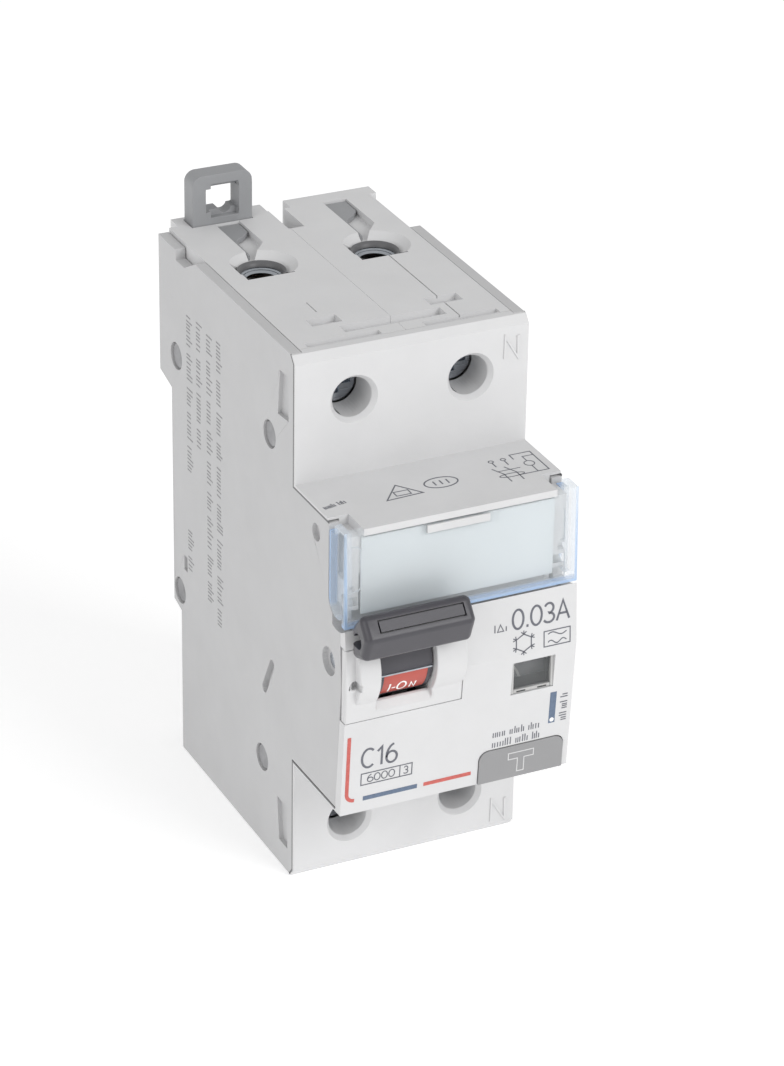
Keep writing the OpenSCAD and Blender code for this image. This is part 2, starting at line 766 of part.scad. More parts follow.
module busbar_shutters() {
  color("gray") {
    shutter(funnel_left_x, left_channel_end, 5.4);
    shutter(funnel_right_x, right_channel_end, 6.2);
    for (x = [funnel_left_x, funnel_right_x]) at_foot() shutter(x, foot_channel_end, 2.8);
  }
}

// leaf-shaped sliding shutter with a thin stem along the channel's left side
module shutter(x, y1, leaf) {
  stem = y1 - funnel_y - 5;
  translate([x, y1 - seam, top_z - channel_depth + seam])
    linear_extrude(channel_depth - seam - 0.3) polygon([
      [0, 0], [channel_w - seam, 0], [channel_w - 0.2, -0.62 * leaf], [2.3, -0.86 * leaf],
      [1.1, -leaf], [0.5, -leaf - 0.8], [0.4, -stem], [0, -stem]
    ]);
}

// ---------- terminals ----------

// pressure screw with a slotted cross head and a grooved shank
module terminal_screw(x) {
  color("lightsteelblue") difference() {
    union() {
      rod_y(head_face_y, head_back_y, x, screw_z, 2.85);
      rod_y(head_back_y, screw_tip_y, x, screw_z, thread_r - 0.35);
      for (y = [head_back_y + 2.4:1.2:screw_tip_y - 0.8])
        translate([x, y, screw_z]) rotate([-90, 0, 0]) {
          cylinder(h = 0.45, r1 = thread_r - 0.4, r2 = thread_r);
          translate([0, 0, 0.45]) cylinder(h = 0.45, r1 = thread_r, r2 = thread_r - 0.4);
        }
    }
    block(x - 2.2, x + 2.2, head_face_y - past, head_face_y + 1.2, screw_z - 0.4, screw_z + 0.4);
    block(x - 0.45, x + 0.45, head_face_y - past, head_face_y + 1.2, screw_z - 1.7, screw_z + 1.7);
  }
}

// lifting cage: threaded front block, two side walls and a rear wall
module terminal_cage(x) {
  color("slategray") difference() {
    block(x - cage_half, x + cage_half, cage_front_y, cage_rear_y, cage_z0, cage_z1);
    block(x - cage_half + cage_wall, x + cage_half - cage_wall, cage_front_y + 3, cage_rear_y - cage_wall,
      cage_z0 - past, cage_z1 + past);
    rod_y(cage_front_y - past, cage_front_y + 4, x, screw_z, thread_r + 0.08);
  }
}

// fixed bar inside a cage, led down towards the middle of the device
module terminal_bar(x) {
  color("peru") union() {
    block(x - 2.9, x + 2.9, bar_y, bar_y + bar_t, 22, cage_z1 + 0.4);
    block(x - 2.9, x + 2.9, bar_y, -11, 21, 22.4);
  }
}

module phase_in_screw() terminal_screw(-pole_x);
module phase_out_screw() at_foot() terminal_screw(-pole_x);
module neutral_in_screw() terminal_screw(pole_x);
module neutral_out_screw() at_foot() terminal_screw(pole_x);
module phase_in_cage() terminal_cage(-pole_x);
module phase_out_cage() at_foot() terminal_cage(-pole_x);
module neutral_in_cage() terminal_cage(pole_x);
module neutral_out_cage() at_foot() terminal_cage(pole_x);
module phase_in_bar() terminal_bar(-pole_x);
module phase_out_bar() at_foot() terminal_bar(-pole_x);
module neutral_in_bar() terminal_bar(pole_x);
module neutral_out_bar() at_foot() terminal_bar(pole_x);

// ---------- contacts and mechanism ----------

phase_pivot = [-38, -4];
neutral_pivot = [-38, -16];

// contact arm turning on a boss, as [y, z] of its pivot
module contact_arm(x, pivot, reach, drop) {
  color("goldenrod") difference() {
    union() {
      along_x(x - 1.5, x + 1.5) polygon([
        [pivot[0] - 0.5, pivot[1] + 1.8], [pivot[0] + reach, pivot[1] - drop + 1],
        [pivot[0] + reach, pivot[1] - drop - 1], [pivot[0] - 0.5, pivot[1] - 1.8]
      ]);
      rod_x(x - 1.5, x + 1.5, pivot[0], pivot[1], 2);
      rod_z(pivot[1] - drop - 1.8, pivot[1] - drop, x, pivot[0] + reach - 1.4, 1.3);
    }
    rod_x(x - 2, x + 2, pivot[0], pivot[1], 0.9);
  }
}

module phase_contact_arm() contact_arm(-8.8, phase_pivot, 9, 2);
module neutral_contact_arm() contact_arm(6, neutral_pivot, 9, 2);

module fixed_contact(x, pivot) {
  y = pivot[0] + 7.6;
  z = pivot[1] - 3.85;
  color("peru") union() {
    rod_z(z - 0.9, z, x, y, 1.3);
    block(x - 2, x + 2, y - 1.5, y + 2.9, z - 1.9, z - 0.9);
  }
}

module phase_fixed_contact() fixed_contact(-8.8, phase_pivot);
module neutral_fixed_contact() fixed_contact(6, neutral_pivot);

module contact_spring() {
  color("dimgray") translate([-8.8, -32.6, -2.6]) coil(1.2, 0.25, 4, 5);
}

module latch_plate() {
  color("slategray") difference() {
    along_x(-5.6, -3.8)
      polygon([[-48, 9], [-40, 14], [-34, 13], [-34, 10.5], [-39, 10.5], [-44, 4], [-48, 4]]);
    rod_x(-7, -2, -45.6, 6.6, 0.8);
  }
}

module drive_link() {
  color("silver") union() {
    rod_x(-12, -6, -47.5, -1, 0.8);
    block(-11.9, -10.3, -47.5, -41, -1.6, -0.4);
  }
}

module magnet_coil() {
  color("chocolate") for (i = [0:6])
    translate([-8.8, -13.5, 3 + i * 1.5]) rotate_extrude() translate([4, 0]) circle(r = 0.72, $fn = 24);
}

module magnet_yoke() {
  color("gray") difference() {
    block(-13.4, -4.2, -21, -6.4, 0, 15.2);
    block(-14, -3, -19.8, -7.6, 1.6, 13.6);
    rod_z(-1, 16, -8.8, -13.5, 2.1);
  }
}

module magnet_plunger() {
  color("silver") rod_z(-3.4, 12, -8.8, -13.5, 1.9);
}

module bimetal_strip() {
  color("darkgoldenrod") union() {
    block(-11.4, -6.2, -25.6, -24.8, 0, 19.4);
    block(-11.4, -6.2, -25.6, -22.4, 18.6, 19.4);
  }
}

module flexible_braid() {
  color("sienna") union() {
    rod_z(-3.2, 12, -14.6, -27.5, 0.8);
    rod_y(-35.5, -27.5, -14.6, -3.2, 0.8);
    translate([-14.6, -27.5, -3.2]) sphere(r = 0.8);
  }
}

plate_count = 9;
plate_pitch = 1.5;
stack_z = -21.5;

module arc_plates() {
  color("lightgray") for (i = [0:plate_count - 1])
    difference() {
      block(-14.4, -3, -24, -7, stack_z + i * plate_pitch, stack_z + 0.8 + i * plate_pitch);
      block(-10.2, -7.2, -25, -17, stack_z - past + i * plate_pitch, stack_z + 1.4 + i * plate_pitch);
    }
}

module arc_side_walls() {
  color("beige") for (x = [-15.3, -2.95]) block(x, x + 0.85, -24.6, -6.4, stack_z - 0.4, stack_z + 13.6);
}

// ---------- residual side ----------

core_y = -20;
core_z = 0;
board_front = -40.4;

module sensor_core() {
  color("navy") difference() {
    rod_x(2.6, 10.4, core_y, core_z, 9.6);
    rod_x(1, 12, core_y, core_z, 4.6);
  }
}

// windings as wire loops round the ring, spaced by turning about its axis
module sensor_winding() {
  color("orangered") for (i = [0:11])
    translate([6.5, core_y, core_z]) rotate([i * 30, 0, 0]) translate([0, 0, 7.1]) difference() {
      block(-4.7, 4.7, -0.7, 0.7, -3.1, 3.1);
      block(-3.95, 3.95, -2, 2, -2.6, 2.6);
    }
}

module circuit_board() {
  color("darkgreen") block(13.2, 14.4, board_front, -5, -24.6, 24.6);
}

module board_parts() {
  color("black") {
    block(10.9, 13.2, -39, -31, 8, 15);
    block(11.5, 13.2, -29.6, -25.2, 12, 18);
    for (i = [0:3]) rod_x(11.6, 13.2, -37.4 + 3 * i, 21, 1.1);
    for (i = [0:2]) block(12.2, 13.2, -38 + 4 * i, -36 + 4 * i, -20, -18.8);
  }
}

front_cover();
left_side_cover();
right_side_cover();
breaker_housing();
residual_housing();
lever_surround();
toggle_lever();
on_band();
off_band();
lever_pin();
lever_spring();
label_flap();
circuit_label();
test_button();
test_spring();
test_contact();
test_resistor();
indicator_lens();
trip_flag();
relay_plunger();
trip_relay();
upper_claw();
lower_claw();
case_rivets();
busbar_shutters();
phase_in_screw();
phase_out_screw();
neutral_in_screw();
neutral_out_screw();
phase_in_cage();
phase_out_cage();
neutral_in_cage();
neutral_out_cage();
phase_in_bar();
phase_out_bar();
neutral_in_bar();
neutral_out_bar();
phase_contact_arm();
neutral_contact_arm();
phase_fixed_contact();
neutral_fixed_contact();
contact_spring();
latch_plate();
drive_link();
magnet_coil();
magnet_yoke();
magnet_plunger();
bimetal_strip();
flexible_braid();
arc_plates();
arc_side_walls();
sensor_core();
sensor_winding();
circuit_board();
board_parts();
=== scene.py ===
"""Looks of a two-module residual current breaker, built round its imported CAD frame. Blender works in metres, and
the shapes below are written in millimetres."""
import json
import math
import random

import bmesh
import bpy
from mathutils import Matrix, Vector


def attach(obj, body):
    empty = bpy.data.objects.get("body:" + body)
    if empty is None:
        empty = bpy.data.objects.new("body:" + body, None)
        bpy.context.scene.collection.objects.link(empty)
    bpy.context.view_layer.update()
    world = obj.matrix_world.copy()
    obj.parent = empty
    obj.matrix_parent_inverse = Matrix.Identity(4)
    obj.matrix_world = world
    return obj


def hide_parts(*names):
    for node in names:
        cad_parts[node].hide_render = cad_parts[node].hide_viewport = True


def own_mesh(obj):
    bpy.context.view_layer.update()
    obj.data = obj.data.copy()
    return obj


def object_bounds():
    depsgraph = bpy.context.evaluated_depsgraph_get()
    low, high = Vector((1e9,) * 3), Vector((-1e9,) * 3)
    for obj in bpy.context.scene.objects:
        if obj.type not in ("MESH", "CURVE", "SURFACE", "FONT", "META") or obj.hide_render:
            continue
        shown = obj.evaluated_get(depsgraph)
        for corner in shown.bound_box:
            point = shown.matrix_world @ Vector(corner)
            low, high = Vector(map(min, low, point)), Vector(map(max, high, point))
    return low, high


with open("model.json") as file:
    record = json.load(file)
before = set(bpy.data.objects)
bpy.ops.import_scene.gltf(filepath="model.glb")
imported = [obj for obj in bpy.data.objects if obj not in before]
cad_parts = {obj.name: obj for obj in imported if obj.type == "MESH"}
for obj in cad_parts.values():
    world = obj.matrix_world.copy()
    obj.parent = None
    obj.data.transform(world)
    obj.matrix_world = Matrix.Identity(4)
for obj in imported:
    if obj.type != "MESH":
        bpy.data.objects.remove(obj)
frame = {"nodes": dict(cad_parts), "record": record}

cad_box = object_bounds()
nodes = frame["nodes"]
body_of = {n: b for b, names in frame["record"]["behaviour"]["bodies"].items() for n in names}
slot_of = {s["node"]: s["material_slot"] for s in frame["record"]["subparts"]}
MM = 0.001
rng = random.Random(7)

# driving places of the casing in millimetres: -Y is the front and Z points up
SIDE_X = 17.8
SHOULDER_Y = -44
BEND_Y, BEND_Z = -61.3, -2.1  # the front's most forward line, from which it leans back both ways
NOSE_TOP_Z = 21.8
LEVER_Y = -55.5
BAND_R = 6.05  # surface of the coloured bands round the lever's axis
SHARP_ANGLE = math.radians(20)

# ---------- materials ----------


class Nodes:
    """A material's node tree, with short ways to add and join its nodes."""

    def __init__(self, name):
        self.mat = bpy.data.materials.new(name)
        self.mat.use_nodes = True
        self.tree = self.mat.node_tree
        self.shader = self.tree.nodes["Principled BSDF"]
        self.where = self.add("ShaderNodeTexCoord").outputs["Object"]

    def add(self, kind, **settings):
        node = self.tree.nodes.new(kind)
        for key, value in settings.items():
            setattr(node, key, value)
        return node

    def link(self, source, target):
        self.tree.links.new(source, target)

    def noise(self, scale, detail=3.0, rough=0.55, stretch=None):
        node = self.add("ShaderNodeTexNoise")
        node.inputs["Scale"].default_value = scale
        node.inputs["Detail"].default_value = detail
        node.inputs["Roughness"].default_value = rough
        if stretch:
            mapping = self.add("ShaderNodeMapping")
            mapping.inputs["Scale"].default_value = stretch
            self.link(self.where, mapping.inputs["Vector"])
            self.link(mapping.outputs[0], node.inputs["Vector"])
        else:
            self.link(self.where, node.inputs["Vector"])
        return node.outputs["Fac"]

    def spread(self, source, low, high, at=(0.3, 0.7)):
        """A number that runs from low to high as source runs over at."""
        node = self.add("ShaderNodeMapRange", clamp=True)
        node.inputs["From Min"].default_value, node.inputs["From Max"].default_value = at
        node.inputs["To Min"].default_value, node.inputs["To Max"].default_value = low, high
        self.link(source, node.inputs["Value"])
        return node.outputs["Result"]

    def tint(self, factor, first, second):
        node = self.add("ShaderNodeMix", data_type="RGBA")
        node.inputs["A"].default_value = (*first, 1)
        node.inputs["B"].default_value = (*second, 1)
        self.link(factor, node.inputs["Factor"])
        return node.outputs["Result"]

    def maths(self, operation, *sources):
        node = self.add("ShaderNodeMath", operation=operation)
        for source, target in zip(sources, node.inputs):
            self.link(source, target)
        return node.outputs[0]

    def bump(self, height, strength, distance, after=None):
        node = self.add("ShaderNodeBump")
        node.inputs["Strength"].default_value = strength
        node.inputs["Distance"].default_value = distance
        self.link(height, node.inputs["Height"])
        if after is not None:
            self.link(after, node.inputs["Normal"])
        return node.outputs["Normal"]


def darker(colour, share):
    return tuple(c * share for c in colour)


def moulded(name, colour, rough=0.5, grain=0.35, scuff=0.03, sheen=0.0):
    """Injection-moulded plastic: a spark-eroded grain, faint flow mottling and hazy patches in the gloss."""
    n = Nodes(name)
    mottle = n.noise(140, 4)
    cloud = n.noise(22, 2)
    n.link(n.tint(n.spread(mottle, 0, 1), darker(colour, 1 - scuff), darker(colour, 1 + scuff / 2)),
           n.shader.inputs["Base Color"])
    n.link(n.spread(cloud, rough - 0.06, rough + 0.07), n.shader.inputs["Roughness"])
    fine = n.bump(n.noise(5200, 2, 0.6), grain, 0.00003)
    n.link(n.bump(n.noise(300, 2), 0.12, 0.00005, fine), n.shader.inputs["Normal"])
    n.shader.inputs["Specular IOR Level"].default_value = 0.42
    n.shader.inputs["Subsurface Weight"].default_value = 0.06
    n.shader.inputs["Subsurface Radius"].default_value = (0.0012, 0.0011, 0.001)
    n.shader.inputs["Coat Weight"].default_value = sheen
    n.shader.inputs["Coat Roughness"].default_value = 0.3
    return n.mat


def metal(name, colour, rough=0.3, stretch=(1, 1, 1), scratch=0.25, tarnish=None):
    """Worked metal: fine drawn lines along one axis, cloudy plating and small pits."""
    n = Nodes(name)
    cloud = n.noise(260, 4)
    n.link(n.tint(n.spread(cloud, 0, 1, (0.35, 0.7)), colour, tarnish or darker(colour, 0.72)),
           n.shader.inputs["Base Color"])
    lines = n.noise(900, 3, 0.6, stretch)
    n.link(n.spread(lines, rough - 0.08, rough + 0.14), n.shader.inputs["Roughness"])
    n.link(n.bump(lines, scratch, 0.00003, n.bump(n.noise(2600, 2), 0.15, 0.00002)), n.shader.inputs["Normal"])
    n.shader.inputs["Metallic"].default_value = 1.0
    return n.mat


def ink(name, colour, rough=0.55):
    """Pad-printed ink with a slightly uneven film."""
    n = Nodes(name)
    film = n.noise(1800, 3)
    n.link(n.tint(n.spread(film, 0, 1), colour, tuple(min(1, c * 1.25 + 0.01) for c in colour)),
           n.shader.inputs["Base Color"])
    n.link(n.spread(film, rough - 0.05, rough + 0.1), n.shader.inputs["Roughness"])
    n.link(n.bump(film, 0.2, 0.00001), n.shader.inputs["Normal"])
    return n.mat


def clear_plastic(name, tint, solidity, edge_tint=None, edge_solidity=1.0):
    """Clear moulding. With an edge tint it is the flap's: deeper in colour along its foot and side walls."""
    n = Nodes(name)
    colour, alpha = n.shader.inputs["Base Color"], n.shader.inputs["Alpha"]
    haze = n.noise(60, 2)
    if edge_tint:
        axes = n.add("ShaderNodeSeparateXYZ")
        n.link(n.where, axes.inputs[0])
        across = n.maths("ABSOLUTE", axes.outputs["X"])
        wall = n.spread(across, 0, 1, (0.01665, 0.01675))
        rear = n.spread(axes.outputs["Y"], 0, 1, (-0.0562, -0.0558))
        front = n.spread(axes.outputs["Y"], 1, 0, (-0.0604, -0.0597))
        base = n.spread(axes.outputs["Z"], 1, 0, (0.0077, 0.0082))
        corner = n.maths("MULTIPLY", front, n.spread(across, 0, 1, (0.0173, 0.01745)))
        rims = n.maths("MAXIMUM", n.maths("MULTIPLY", wall, rear), corner)
        edge = n.maths("MAXIMUM", rims, n.maths("MAXIMUM", base, n.spread(wall, 0, 0.25, (0, 1))))
        n.link(n.tint(edge, tint, edge_tint), colour)
        n.link(n.spread(edge, solidity, edge_solidity, (0, 1)), alpha)
    else:
        n.link(n.tint(haze, tint, darker(tint, 0.85)), colour)
        alpha.default_value = solidity
    n.link(n.spread(haze, 0.05, 0.14), n.shader.inputs["Roughness"])
    n.link(n.bump(haze, 0.02, 0.00005), n.shader.inputs["Normal"])
    n.shader.inputs["Specular IOR Level"].default_value = 0.6
    return n.mat


M = {
    "front": moulded("front_moulding", (0.655, 0.655, 0.66), 0.48, 0.3),
    # side shells: the case's plastic painted darker, as shade on the side faces
    "side": moulded("side_moulding_painted_shade", (0.535, 0.535, 0.54), 0.55, 0.4),
    "housing": moulded("housing_moulding", (0.67, 0.67, 0.675), 0.5, 0.35),
    "lever": moulded("lever_moulding", (0.062, 0.060, 0.070), 0.36, 0.6, 0.1, 0.1),
    "red": moulded("red_band", (0.46, 0.09, 0.07), 0.45),
    "green": moulded("green_band", (0.03, 0.24, 0.11), 0.45),
    "button": moulded("button_moulding", (0.295, 0.295, 0.30), 0.5),
    "claw": moulded("claw_moulding", (0.31, 0.315, 0.325), 0.5, 0.4),
    "card": moulded("label_card", (0.66, 0.70, 0.715), 0.6, 0.04),
    "flag": moulded("flag_plastic", (0.72, 0.50, 0.04), 0.5),
    "black": moulded("black_plastic", (0.03, 0.03, 0.032), 0.5),
    "fibre": moulded("pressed_fibre", (0.52, 0.42, 0.27), 0.8, 0.8, 0.12),
    "core": moulded("core_coating", (0.03, 0.05, 0.18), 0.35, 0.6),
    "board": moulded("board_laminate", (0.02, 0.16, 0.06), 0.35, 0.2, 0.1),
    "steel": metal("zinc_steel", (0.50, 0.53, 0.57), 0.24, (0.05, 1, 1)),
    "rivet": metal("dull_rivet", (0.40, 0.40, 0.41), 0.5),
    "spring": metal("spring_wire", (0.42, 0.42, 0.44), 0.3),
    "copper": metal("copper_strip", (0.70, 0.38, 0.22), 0.3, (1, 0.05, 1), 0.25, (0.42, 0.20, 0.10)),
    "bimetal": metal("bimetal_strip", (0.60, 0.52, 0.38), 0.35, (1, 1, 0.05)),
    "grey_ink": ink("grey_ink", (0.115, 0.12, 0.14)),
    "blue_ink": ink("blue_grey_ink", (0.10, 0.14, 0.21)),
    "red_ink": ink("red_ink", (0.48, 0.10, 0.085)),
    "white_ink": ink("white_ink", (0.80, 0.79, 0.78)),
    "mark": ink("marked_plastic", (0.24, 0.24, 0.245), 0.7),
    # grey-blue film painted as shade of the lines moulded into the clear flap
    "faint": ink("moulded_line_shade", (0.42, 0.45, 0.48), 0.3),
    "shade": moulded("window_shade", (0.15, 0.15, 0.155), 0.6),
    # dark plastic painted as shade: the rings in the funnel throats and the strips in the side gaps
    "painted_shade": moulded("funnel_painted_shade", (0.13, 0.13, 0.135), 0.4),
    "pale": moulded("pale_vane", (0.45, 0.45, 0.43), 0.5),
    "rim": moulded("window_rim", (0.50, 0.50, 0.495), 0.5),
    "clear": clear_plastic("clear_flap", (0.80, 0.85, 0.88), 0.16, (0.42, 0.58, 0.82), 0.66),
    "lens": clear_plastic("clear_window", (0.52, 0.54, 0.55), 0.16),
}

LOOK = {
    "front_plastic": "front", "side_plastic": "side", "housing_plastic": "housing", "surround_plastic": "front",
    "lever_plastic": "lever", "red_band": "red", "green_band": "green", "clear_plastic": "clear",
    "label_card": "card", "button_plastic": "button", "claw_plastic": "claw", "zinc_steel": "steel",
    "spring_steel": "spring", "copper": "copper", "bimetal": "bimetal", "flag_plastic": "flag",
    "black_plastic": "black", "fibre": "fibre", "core_coating": "core", "board_laminate": "board",
}


# nodes that look different from the rest of their slot
OWN_LOOK = {"indicator_lens": "lens", "case_rivets": "rivet"}


def look_of(node):
    return M[OWN_LOOK.get(node) or LOOK[slot_of[node]]]


for name, obj in nodes.items():
    obj.data.materials.clear()
    obj.data.materials.append(look_of(name))

# ---------- softened copies of the mouldings ----------


def put(obj, body):
    bpy.context.scene.collection.objects.link(obj)
    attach(obj, body)
    return obj


def softened(node, width):
    """A copy of a CAD node whose edges are rounded, as a moulding's are, shown in the node's place."""
    bm = bmesh.new()
    bm.from_mesh(nodes[node].data)
    bmesh.ops.remove_doubles(bm, verts=bm.verts, dist=2e-6)
    bmesh.ops.dissolve_limit(bm, angle_limit=math.radians(0.6), verts=bm.verts, edges=bm.edges)
    bmesh.ops.connect_verts_concave(bm, faces=bm.faces)
    bmesh.ops.recalc_face_normals(bm, faces=bm.faces)
    mesh = bpy.data.meshes.new(node + "_moulding")
    bm.to_mesh(mesh)
    bm.free()
    mesh.materials.append(look_of(node))
    for face in mesh.polygons:
        face.use_smooth = True
    mesh.set_sharp_from_angle(angle=SHARP_ANGLE)
    obj = bpy.data.objects.new(node + "_moulding", mesh)
    bevel = obj.modifiers.new("rounded_edges", "BEVEL")
    bevel.width = width
    bevel.segments = 2
    bevel.limit_method = "ANGLE"
    bevel.angle_limit = SHARP_ANGLE
    bevel.harden_normals = True
    bevel.use_clamp_overlap = True
    bevel.miter_outer = "MITER_ARC"
    weigh = obj.modifiers.new("flat_faces_stay_flat", "WEIGHTED_NORMAL")
    weigh.weight = 100
    weigh.keep_sharp = True
    put(obj, body_of[node])
    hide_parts(node)


# width of the rounding in millimetres
SOFT_EDGES = {
    "front_cover": 0.19, "left_side_cover": 0.16, "right_side_cover": 0.16, "breaker_housing": 0.14,
    "residual_housing": 0.14, "lever_surround": 0.2, "toggle_lever": 0.03, "label_flap": 0.1,
    "test_button": 0.03, "upper_claw": 0.2, "lower_claw": 0.15, "busbar_shutters": 0.12,
}
for node, width in SOFT_EDGES.items():
    softened(node, width * MM)

# coil springs that a joint presses, each copied whole into its node's place: node, joint, direction, fixed end, share
# of the length kept
for node, joint, axis, fixed_end, kept in (
    ("test_spring", "test_button_slide", (0, 1, 0), (0.0142, -0.0516, -0.0196), 0.72),
    ("contact_spring", "phase_arm_hinge", (0, 0, 1), (-0.0088, -0.0326, 0.0026), 0.58),
):
    wire = bpy.data.objects.new(node + "_wire", nodes[node].data.copy())
    put(wire, body_of[node])
    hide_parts(node)
    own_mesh(wire)

# ---------- printed and moulded marks ----------


def arc(u, v, ru, rv, start, end, steps=14):
    """Points along an ellipse from one angle to another, in degrees."""
    angles = [math.radians(start + (end - start) * i / steps) for i in range(steps + 1)]
    return [(u + ru * math.cos(a), v + rv * math.sin(a)) for a in angles]


# strokes of each sign in a box one unit high: its advance, then (points, closed) for each stroke
SIGNS = {
    "0": (0.60, [(arc(0.26, 0.5, 0.24, 0.5, 0, 360, 22)[:-1], True)]),
    "1": (0.44, [([(0.08, 0.76), (0.27, 0.98), (0.27, 0)], False)]),
    "3": (0.56, [(arc(0.23, 0.74, 0.2, 0.26, 155, -85, 10) + arc(0.22, 0.25, 0.24, 0.25, 85, -155, 10), False)]),
    "6": (0.58, [(arc(0.27, 0.3, 0.23, 0.3, 0, 360, 18)[:-1], True),
                 (arc(0.42, 0.34, 0.38, 0.66, 182, 100, 8), False)]),
    "A": (0.66, [([(0.02, 0), (0.3, 1), (0.58, 0)], False), ([(0.13, 0.34), (0.47, 0.34)], False)]),
    "C": (0.64, [(arc(0.33, 0.5, 0.3, 0.5, 48, 312, 18), False)]),
    "I": (0.24, [([(0.1, 0), (0.1, 1)], False)]),
    "N": (0.70, [([(0.06, 0), (0.06, 1), (0.56, 0), (0.56, 1)], False)]),
    "O": (0.76, [(arc(0.35, 0.5, 0.31, 0.5, 0, 360, 22)[:-1], True)]),
    "-": (0.42, [([(0.06, 0.45), (0.32, 0.45)], False)]),
    ".": (0.22, [([(0.08, 0), (0.08, 0.13)], False)]),
}


class Sheet:
    """Flat shapes in millimetres, drawn on (u, v) before they are laid on a surface."""

    def __init__(self):
        self.bm = bmesh.new()

    def fill(self, points):
        area = sum(a[0] * b[1] - b[0] * a[1] for a, b in zip(points, points[1:] + points[:1]))
        ordered = points if area > 0 else points[::-1]
        self.bm.faces.new([self.bm.verts.new((u, v, 0)) for u, v in ordered])

    def box(self, u0, u1, v0, v1):
        self.fill([(u0, v0), (u1, v0), (u1, v1), (u0, v1)])

    def line(self, points, width, closed=False):
        """A stroke with mitred corners."""
        points = [Vector(p) for p in points]
        count = len(points)
        sides = []
        for i, point in enumerate(points):
            before = points[i - 1] if closed or i else None
            after = points[(i + 1) % count] if closed or i < count - 1 else None
            legs = ((before, point), (point, after))
            runs = [(b - a).normalized() for a, b in legs if a is not None and b is not None]
            normals = [Vector((-r.y, r.x)) for r in runs]
            mean = sum(normals, Vector((0, 0))).normalized()
            reach = width / 2 / max(0.45, mean.dot(normals[0]))
            sides.append([self.bm.verts.new((*(point + mean * k * reach), 0)) for k in (-1, 1)])
        for i in range(count if closed else count - 1):
            a, b = sides[i], sides[(i + 1) % count]
            self.bm.faces.new((a[0], b[0], b[1], a[1]))

    def frame(self, u0, u1, v0, v1, width):
        self.line([(u0, v0), (u1, v0), (u1, v1), (u0, v1)], width, True)

    def disc(self, u, v, radius):
        self.fill(arc(u, v, radius, radius, 0, 360, 20)[:-1])

    def write(self, words, u, v, height, weight, stretch=1.0):
        for sign in words:
            advance, strokes = SIGNS[sign]
            for points, closed in strokes:
                self.line([(u + x * height * stretch, v + y * height) for x, y in points], weight, closed)
            u += advance * height * stretch

    def ticks(self, start, along, length, height, weight=0.2, word=(4, 9)):
        """Word-like runs of short upright strokes, in place of small print."""
        run, across = Vector(along), Vector((-along[1], along[0]))
        at, left = 0.0, rng.randint(*word)
        while at < length:
            foot = Vector(start) + run * at
            self.line([foot, foot + across * height * rng.choice((0.66, 0.66, 0.72, 1.0))], weight)
            at += height * rng.choice((0.26, 0.3, 0.36))
            left -= 1
            if left == 0:
                at, left = at + height * 0.45, rng.randint(*word)


# Surfaces that a sheet is laid on: each turns (u, v) and a height above the surface into (x, y, z).


def front_at(u, v, h):
    above = v - BEND_Z
    lean = 1.5 * above / 23.9 if above > 0 else 1.6 * -above / 20.6
    return u, BEND_Y + lean - h, v


def nose_top_at(u, v, h):
    return u, v, NOSE_TOP_Z + h


def left_side_at(u, v, h):
    return -SIDE_X - h, -u, v


def right_side_at(u, v, h):
    return SIDE_X + h, u, v


def shoulder_at(u, v, h):
    return u, SHOULDER_Y - h, v


def band_at(middle):
    """The barrel's surface, unrolled round the given angle in degrees."""
    def surface(u, v, h):
        angle = math.radians(middle) + v / BAND_R
        return u, LEVER_Y - (BAND_R + h) * math.cos(angle), (BAND_R + h) * math.sin(angle)
    return surface


def button_at(u, v, h):
    return u, -60.25 + 0.3 * (-17.4 - v) / 5.3 - h, v


def flap_at(u, v, h):
    return u, -60.65 + 0.5 * (v - 7.4) / 13.8 - h, v


def mesh_object(name, points, faces, material, smooth=False):
    """A mesh from millimetre points, with its normals turned outwards."""
    bm = bmesh.new()
    verts = [bm.verts.new(Vector(p) * MM) for p in points]
    for face in faces:
        bm.faces.new([verts[i] for i in face])
    bmesh.ops.recalc_face_normals(bm, faces=bm.faces)
    mesh = bpy.data.meshes.new(name)
    bm.to_mesh(mesh)
    bm.free()
    mesh.materials.append(material)
    for face in mesh.polygons:
        face.use_smooth = smooth
    if smooth:
        mesh.set_sharp_from_angle(angle=math.radians(35))
    return bpy.data.objects.new(name, mesh)


def lay(sheet, name, surface, look, body="casing", proud=0.03, sunk=0.03, cuts=()):
    """Thicken a sheet into a thin film that hugs a surface."""
    bm = sheet.bm
    for level in cuts:
        bmesh.ops.bisect_plane(bm, geom=bm.verts[:] + bm.edges[:] + bm.faces[:],
                               plane_co=(0, level, 0), plane_no=(0, 1, 0))
    bm.verts.index_update()
    flat = [v.co.xy for v in bm.verts]
    count = len(flat)
    points = [surface(u, v, proud) for u, v in flat] + [surface(u, v, -sunk) for u, v in flat]
    faces = []
    for face in bm.faces:
        ring = [v.index for v in face.verts]
        faces += [ring, [i + count for i in reversed(ring)]]
    for edge in bm.edges:
        if len(edge.link_loops) == 1:
            loop = edge.link_loops[0]
            a, b = loop.vert.index, loop.link_loop_next.vert.index
            faces.append([b, a, a + count, b + count])
    bm.free()
    return put(mesh_object(name, points, faces, M[look]), body)


